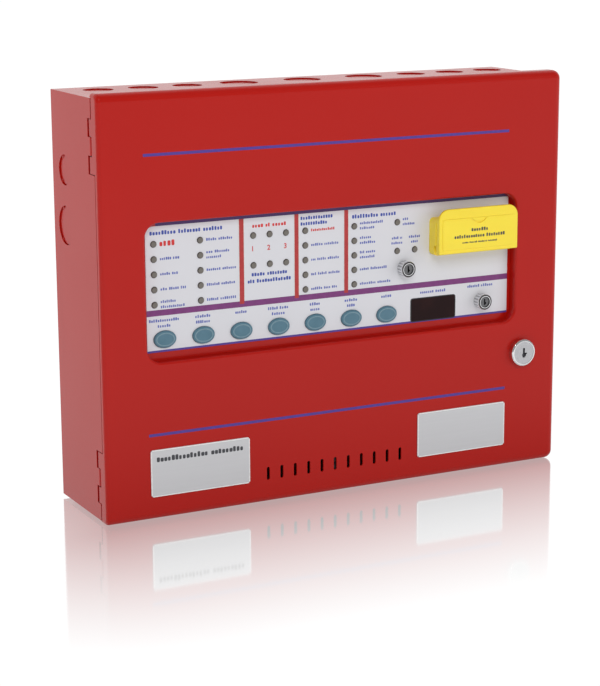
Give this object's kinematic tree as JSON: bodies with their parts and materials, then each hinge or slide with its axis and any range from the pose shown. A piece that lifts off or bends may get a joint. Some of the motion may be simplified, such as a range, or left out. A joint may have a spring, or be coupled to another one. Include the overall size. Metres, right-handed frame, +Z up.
{
  "type": "fire alarm control panel",
  "caption": "Wall-mounted fire alarm and extinguishant release panel: steel box with a hinged locking display door, push buttons, key switches and a flap over the release button.",
  "frame": {"origin": "middle of the box's back face, on the wall plane", "axes": "+X to the right seen from the front, +Y into the wall, +Z up"},
  "size_m": [0.385, 0.097, 0.31],
  "materials": {
    "red_powder_coat": "glossy powder coat",
    "chrome": "polished",
    "zinc_steel": "bright zinc",
    "overlay": "fine matt film",
    "lamp_lens": "diffused lens",
    "window_tint": "dark red tint",
    "digit_grey": "matt",
    "circuit_board": "solder mask",
    "black_plastic": "matt",
    "button_cap": "soft satin",
    "yellow_plastic": "moulded gloss",
    "dark_button": "moulded gloss",
    "silver_label": "fine satin",
    "terminal_green": "satin",
    "capacitor_sleeve": "heat-shrunk sleeve",
    "core_iron": "varnished laminations",
    "coil_tape": "polyester tape",
    "ivory_plastic": "satin",
    "fuse_glass": "glass tube between plated caps",
    "brass": "plain",
    "battery_case": "fine textured ABS",
    "tab_metal": "tinned"
  },
  "bodies": {
    "enclosure": {"back_box": "red_powder_coat", "hinge_pins": "zinc_steel", "lock_catch": "red_powder_coat", "chassis_plate": "zinc_steel", "standoffs": "zinc_steel", "box_screws": "zinc_steel", "main_board": "circuit_board", "terminal_blocks": "terminal_green", "terminal_screws": "zinc_steel", "relays": "black_plastic", "main_chips": "black_plastic", "capacitors": "capacitor_sleeve", "main_ribbon_header": "black_plastic", "transformer_core": "core_iron", "transformer_coil": "coil_tape", "mains_terminal": "ivory_plastic", "fuse_holder": "black_plastic", "mains_fuse": "fuse_glass", "earth_stud": "brass", "earth_nuts": "zinc_steel", "battery_left": "battery_case", "battery_right": "battery_case", "battery_tabs": "tab_metal", "battery_strap": "zinc_steel"},
    "door": {"door_shell": "red_powder_coat", "door_studs": "zinc_steel", "stud_spacers": "zinc_steel", "door_nuts": "zinc_steel", "overlay_panel": "overlay", "indicator_lamps": "lamp_lens", "display_window": "window_tint", "digit_module": "digit_grey", "display_board": "circuit_board", "button_switches": "black_plastic", "release_switch": "black_plastic", "display_board_chips": "black_plastic", "display_ribbon_header": "black_plastic", "mode_switch_body": "chrome", "enable_switch_body": "chrome", "release_base": "yellow_plastic", "release_screws": "zinc_steel", "lock_barrel": "chrome", "name_plate_left": "silver_label", "name_plate_right": "silver_label", "buzzer": "black_plastic"},
    "mode_key": {"mode_switch_plug": "chrome"},
    "enable_key": {"enable_switch_plug": "chrome"},
    "release_push": {"release_button": "dark_button"},
    "flap": {"release_flap": "yellow_plastic", "release_flap_pin": "zinc_steel"},
    "lock": {"lock_plug": "chrome", "lock_cam": "zinc_steel", "cam_screw": "zinc_steel"},
    "push_button_1": {"button_1": "button_cap"},
    "push_button_2": {"button_2": "button_cap"},
    "push_button_3": {"button_3": "button_cap"},
    "push_button_4": {"button_4": "button_cap"},
    "push_button_5": {"button_5": "button_cap"},
    "push_button_6": {"button_6": "button_cap"},
    "push_button_7": {"button_7": "button_cap"}
  },
  "joints": [
    {"name": "door_swing", "type": "hinge", "parent": "enclosure", "child": "door", "pos_m": [-0.18975, -0.07625, 0], "axis": [0, 0, -1], "range_deg": [0, 95]},
    {"name": "button_1_press", "type": "slide", "parent": "door", "child": "push_button_1", "axis": [0, 1, 0], "range_m": [0, 0.0006], "stiffness_N_per_m": 800, "springref_m": -0.0006},
    {"name": "button_2_press", "type": "slide", "parent": "door", "child": "push_button_2", "axis": [0, 1, 0], "range_m": [0, 0.0006], "stiffness_N_per_m": 800, "springref_m": -0.0006},
    {"name": "button_3_press", "type": "slide", "parent": "door", "child": "push_button_3", "axis": [0, 1, 0], "range_m": [0, 0.0006], "stiffness_N_per_m": 800, "springref_m": -0.0006},
    {"name": "button_4_press", "type": "slide", "parent": "door", "child": "push_button_4", "axis": [0, 1, 0], "range_m": [0, 0.0006], "stiffness_N_per_m": 800, "springref_m": -0.0006},
    {"name": "button_5_press", "type": "slide", "parent": "door", "child": "push_button_5", "axis": [0, 1, 0], "range_m": [0, 0.0006], "stiffness_N_per_m": 800, "springref_m": -0.0006},
    {"name": "button_6_press", "type": "slide", "parent": "door", "child": "push_button_6", "axis": [0, 1, 0], "range_m": [0, 0.0006], "stiffness_N_per_m": 800, "springref_m": -0.0006},
    {"name": "button_7_press", "type": "slide", "parent": "door", "child": "push_button_7", "axis": [0, 1, 0], "range_m": [0, 0.0006], "stiffness_N_per_m": 800, "springref_m": -0.0006},
    {"name": "release_press", "type": "slide", "parent": "door", "child": "release_push", "axis": [0, 1, 0], "range_m": [0, 0.0025], "stiffness_N_per_m": 600, "springref_m": -0.0005},
    {"name": "flap_drop", "type": "hinge", "parent": "door", "child": "flap", "pos_m": [0.1142, -0.0936, 0.0229], "axis": [1, 0, 0], "range_deg": [0, 110]},
    {"name": "mode_turn", "type": "hinge", "parent": "door", "child": "mode_key", "pos_m": [0.0564, -0.08, 0.011], "axis": [0, 1, 0], "range_deg": [0, 90]},
    {"name": "enable_turn", "type": "hinge", "parent": "door", "child": "enable_key", "pos_m": [0.1251, -0.08, -0.0208], "axis": [0, 1, 0], "range_deg": [0, 90]},
    {"name": "lock_turn", "type": "hinge", "parent": "door", "child": "lock", "pos_m": [0.1587, -0.08, -0.0638], "axis": [0, 1, 0], "range_deg": [0, 90]}
  ]
}
